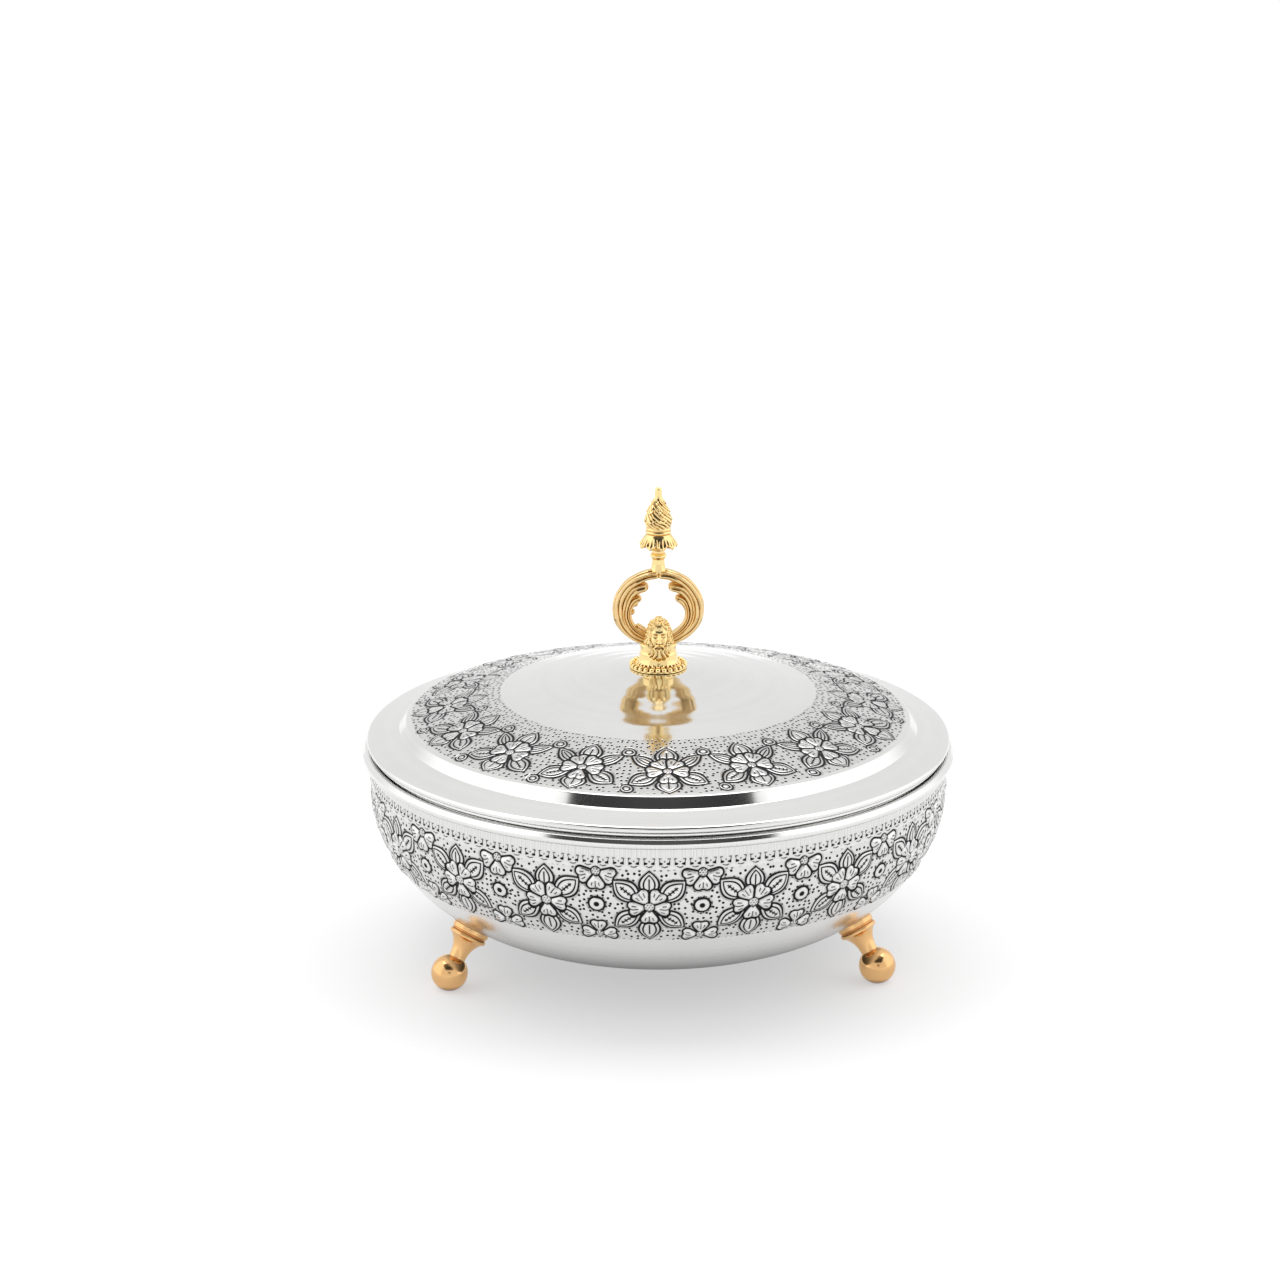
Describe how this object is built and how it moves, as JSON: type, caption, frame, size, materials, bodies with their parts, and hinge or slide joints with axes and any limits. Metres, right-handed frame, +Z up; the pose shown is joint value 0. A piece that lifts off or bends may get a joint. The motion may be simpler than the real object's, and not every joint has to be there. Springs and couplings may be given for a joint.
{
  "type": "covered candy bowl",
  "caption": "Round footed serving bowl of silvered sheet with a rolled rim and a lift-off domed lid, lifted by a gold ring-shaped knob with a bud on top.",
  "frame": {"origin": "on the table under the bowl's axis, in the plane of the feet's flats", "axes": "+Z up along the bowl's axis, -Y to the front, which the knob's ring faces, +X to the right as seen from the front"},
  "size_m": [0.2, 0.2, 0.1605],
  "materials": {
    "silvered_sheet": "polished, with a chased floral band darkened in its recesses",
    "turned_gold": "satin gold plate on turned brass",
    "cast_gold": "bright gold plate on a casting, dark in its recesses",
    "steel_wire": "drawn wire",
    "steel_fastener": "plain turned steel"
  },
  "bodies": {
    "bowl": {"bowl_shell": "silvered_sheet", "bowl_rim_wire": "steel_wire", "foot_front_right": "turned_gold", "foot_collar_front_right": "turned_gold", "foot_washer_front_right": "steel_fastener", "foot_screw_front_right": "steel_fastener", "foot_rear": "turned_gold", "foot_collar_rear": "turned_gold", "foot_washer_rear": "steel_fastener", "foot_screw_rear": "steel_fastener", "foot_front_left": "turned_gold", "foot_collar_front_left": "turned_gold", "foot_washer_front_left": "steel_fastener", "foot_screw_front_left": "steel_fastener"},
    "lid": {"lid_shell": "silvered_sheet", "lid_seat_ring": "silvered_sheet", "knob_base": "cast_gold", "knob_bead_ring": "cast_gold", "knob_mask": "cast_gold", "knob_leaf_left": "cast_gold", "knob_leaf_right": "cast_gold", "knob_bud": "cast_gold", "knob_screw": "steel_fastener", "knob_washer": "steel_fastener"}
  },
  "joints": [
    {"name": "lid_lift", "type": "slide", "parent": "bowl", "child": "lid", "axis": [0, 0, 1], "range_m": [0, 0.12]}
  ]
}
